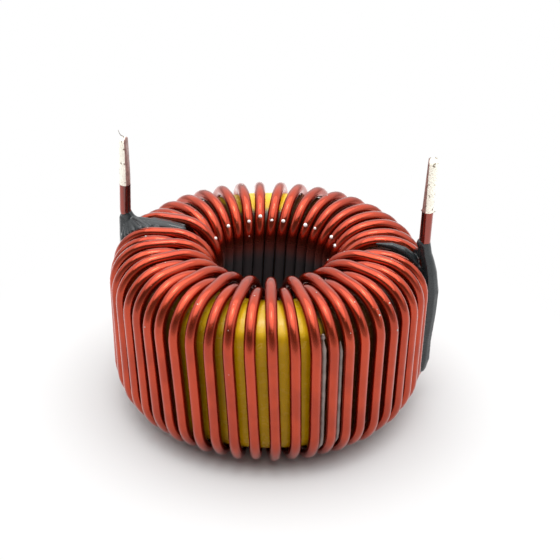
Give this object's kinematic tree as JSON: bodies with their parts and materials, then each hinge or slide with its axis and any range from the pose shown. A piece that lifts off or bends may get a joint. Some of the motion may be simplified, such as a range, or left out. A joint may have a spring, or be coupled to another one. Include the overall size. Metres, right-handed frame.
{
  "type": "toroidal inductor",
  "caption": "Toroidal inductor: a yellow powder core wound all round with red-brown enamelled copper wire, its tinned leads standing up at either side.",
  "frame": {"origin": "on the axis of the core, in the plane that the winding rests on", "axes": "+Z along the core's axis, the way the leads point; -Y to the middle of the front, which has the second layer of wire; +X to the right lead"},
  "size_m": [0.0294, 0.0286, 0.0243],
  "materials": {
    "core_coating": "satin",
    "enamelled_wire": "gloss",
    "sleeving": "gloss",
    "tinning": "satin"
  },
  "bodies": {
    "root": {"core": "core_coating", "winding": "enamelled_wire", "sleeve_left": "sleeving", "sleeve_right": "sleeving", "solder_left": "tinning", "solder_right": "tinning"}
  },
  "joints": []
}
